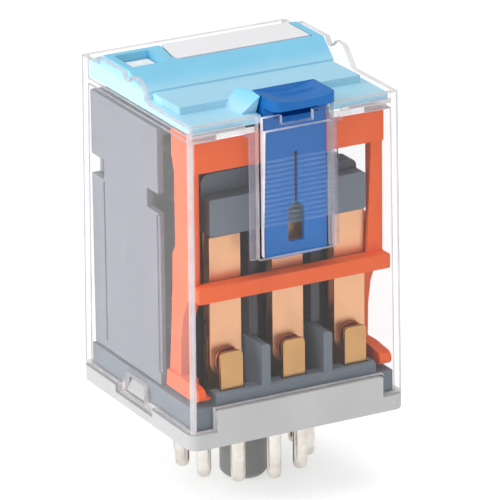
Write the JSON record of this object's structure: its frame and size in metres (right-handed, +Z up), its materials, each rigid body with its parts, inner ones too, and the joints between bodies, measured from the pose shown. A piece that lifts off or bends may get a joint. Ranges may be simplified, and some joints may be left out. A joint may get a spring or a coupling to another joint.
{
  "type": "plug-in relay",
  "caption": "Plug-in relay: round pins under a grey base, clear cover over contact springs and an orange actuator frame, light-blue top and a blue test lever.",
  "frame": {"origin": "centre of the pin circle in the seating plane, the underside of the base plate", "axes": "+Z up, out of the socket; -Y towards the test lever's side; X along that front, +X to the right when the lever is looked at"},
  "size_m": [0.0392, 0.0403, 0.0713],
  "materials": {
    "clear_plastic": "clear gloss moulding",
    "light_blue_plastic": "satin moulding",
    "label": "blank matt strip",
    "lens": "milky lens",
    "board": "solder resist",
    "blue_plastic": "satin moulding",
    "orange_plastic": "satin moulding",
    "dark_grey_plastic": "satin moulding",
    "post_plastic": "satin moulding",
    "light_grey_plastic": "satin moulding",
    "housing_grey_plastic": "satin moulding",
    "barrier_plastic": "satin moulding",
    "bobbin_plastic": "satin moulding",
    "winding": "enamelled copper wire",
    "steel": "zinc plated",
    "copper": "rolled copper alloy",
    "contact_metal": "riveted contact",
    "gold_plate": "gold coloured plating",
    "nickel": "nickel plated"
  },
  "bodies": {
    "relay_body": {"cover": "clear_plastic", "top_insert": "light_blue_plastic", "label_strip": "label", "indicator_lens": "lens", "indicator_led": "lens", "indicator_board": "board", "base_block": "dark_grey_plastic", "spring_holder": "dark_grey_plastic", "guide_post": "post_plastic", "base_plate": "light_grey_plastic", "coil_frame": "housing_grey_plastic", "contact_barrier": "barrier_plastic", "coil_bobbin": "bobbin_plastic", "coil_winding": "winding", "iron_core": "steel", "yoke": "steel", "armature_spring": "steel", "common_bar_1": "copper", "common_bar_2": "copper", "common_bar_3": "copper", "front_terminal_1": "gold_plate", "front_terminal_2": "gold_plate", "front_terminal_3": "gold_plate", "rear_terminal_1": "gold_plate", "rear_terminal_2": "gold_plate", "rear_terminal_3": "gold_plate", "coil_terminal_left": "gold_plate", "coil_terminal_right": "gold_plate", "pin_01": "nickel", "pin_02": "nickel", "pin_03": "nickel", "pin_04": "nickel", "pin_05": "nickel", "pin_06": "nickel", "pin_07": "nickel", "pin_08": "nickel", "pin_09": "nickel", "pin_10": "nickel", "pin_11": "nickel"},
    "flexing_tongue": {"cover_tongue": "clear_plastic"},
    "lever": {"test_lever": "blue_plastic"},
    "rocker": {"actuator_frame": "orange_plastic"},
    "armature_plate": {"armature": "steel"},
    "spring_1": {"contact_spring_1": "copper", "moving_contact_1": "contact_metal"},
    "spring_2": {"contact_spring_2": "copper", "moving_contact_2": "contact_metal"},
    "spring_3": {"contact_spring_3": "copper", "moving_contact_3": "contact_metal"}
  },
  "joints": [
    {"name": "test_lever_slide", "type": "slide", "parent": "relay_body", "child": "lever", "axis": [0, 0, 1], "range_m": [-0.0008, 0.003], "stiffness_N_per_m": 150},
    {"name": "tongue_flex", "type": "hinge", "parent": "relay_body", "child": "flexing_tongue", "pos_m": [0, -0.01845, 0.0303], "axis": [1, 0, 0], "range_deg": [0, 4], "stiffness_Nm_per_rad": 0.008},
    {"name": "armature_hinge", "type": "hinge", "parent": "relay_body", "child": "armature_plate", "pos_m": [0, -0.0063, 0.0384], "axis": [-1, 0, 0], "range_deg": [0, 6.5], "stiffness_Nm_per_rad": 0.02, "springref_deg": -2.86, "deforming": ["armature_spring"]},
    {"name": "actuator_rock", "type": "hinge", "parent": "relay_body", "child": "rocker", "pos_m": [0, -0.0164, 0.00835], "axis": [-1, 0, 0], "range_deg": [0, 1.6]},
    {"name": "spring_1_bend", "type": "hinge", "parent": "relay_body", "child": "spring_1", "pos_m": [0, -0.01445, 0.0337], "axis": [1, 0, 0], "range_deg": [0, 3.02]},
    {"name": "spring_2_bend", "type": "hinge", "parent": "relay_body", "child": "spring_2", "pos_m": [0, -0.01445, 0.0337], "axis": [1, 0, 0], "range_deg": [0, 3.02]},
    {"name": "spring_3_bend", "type": "hinge", "parent": "relay_body", "child": "spring_3", "pos_m": [0, -0.01445, 0.0337], "axis": [1, 0, 0], "range_deg": [0, 3.02]}
  ],
  "couplings": [
    {"joint": "actuator_rock", "follows": "armature_hinge", "ratio": 0.24591},
    {"joint": "spring_1_bend", "follows": "armature_hinge", "ratio": 0.46415},
    {"joint": "spring_2_bend", "follows": "armature_hinge", "ratio": 0.46415},
    {"joint": "spring_3_bend", "follows": "armature_hinge", "ratio": 0.46415}
  ]
}
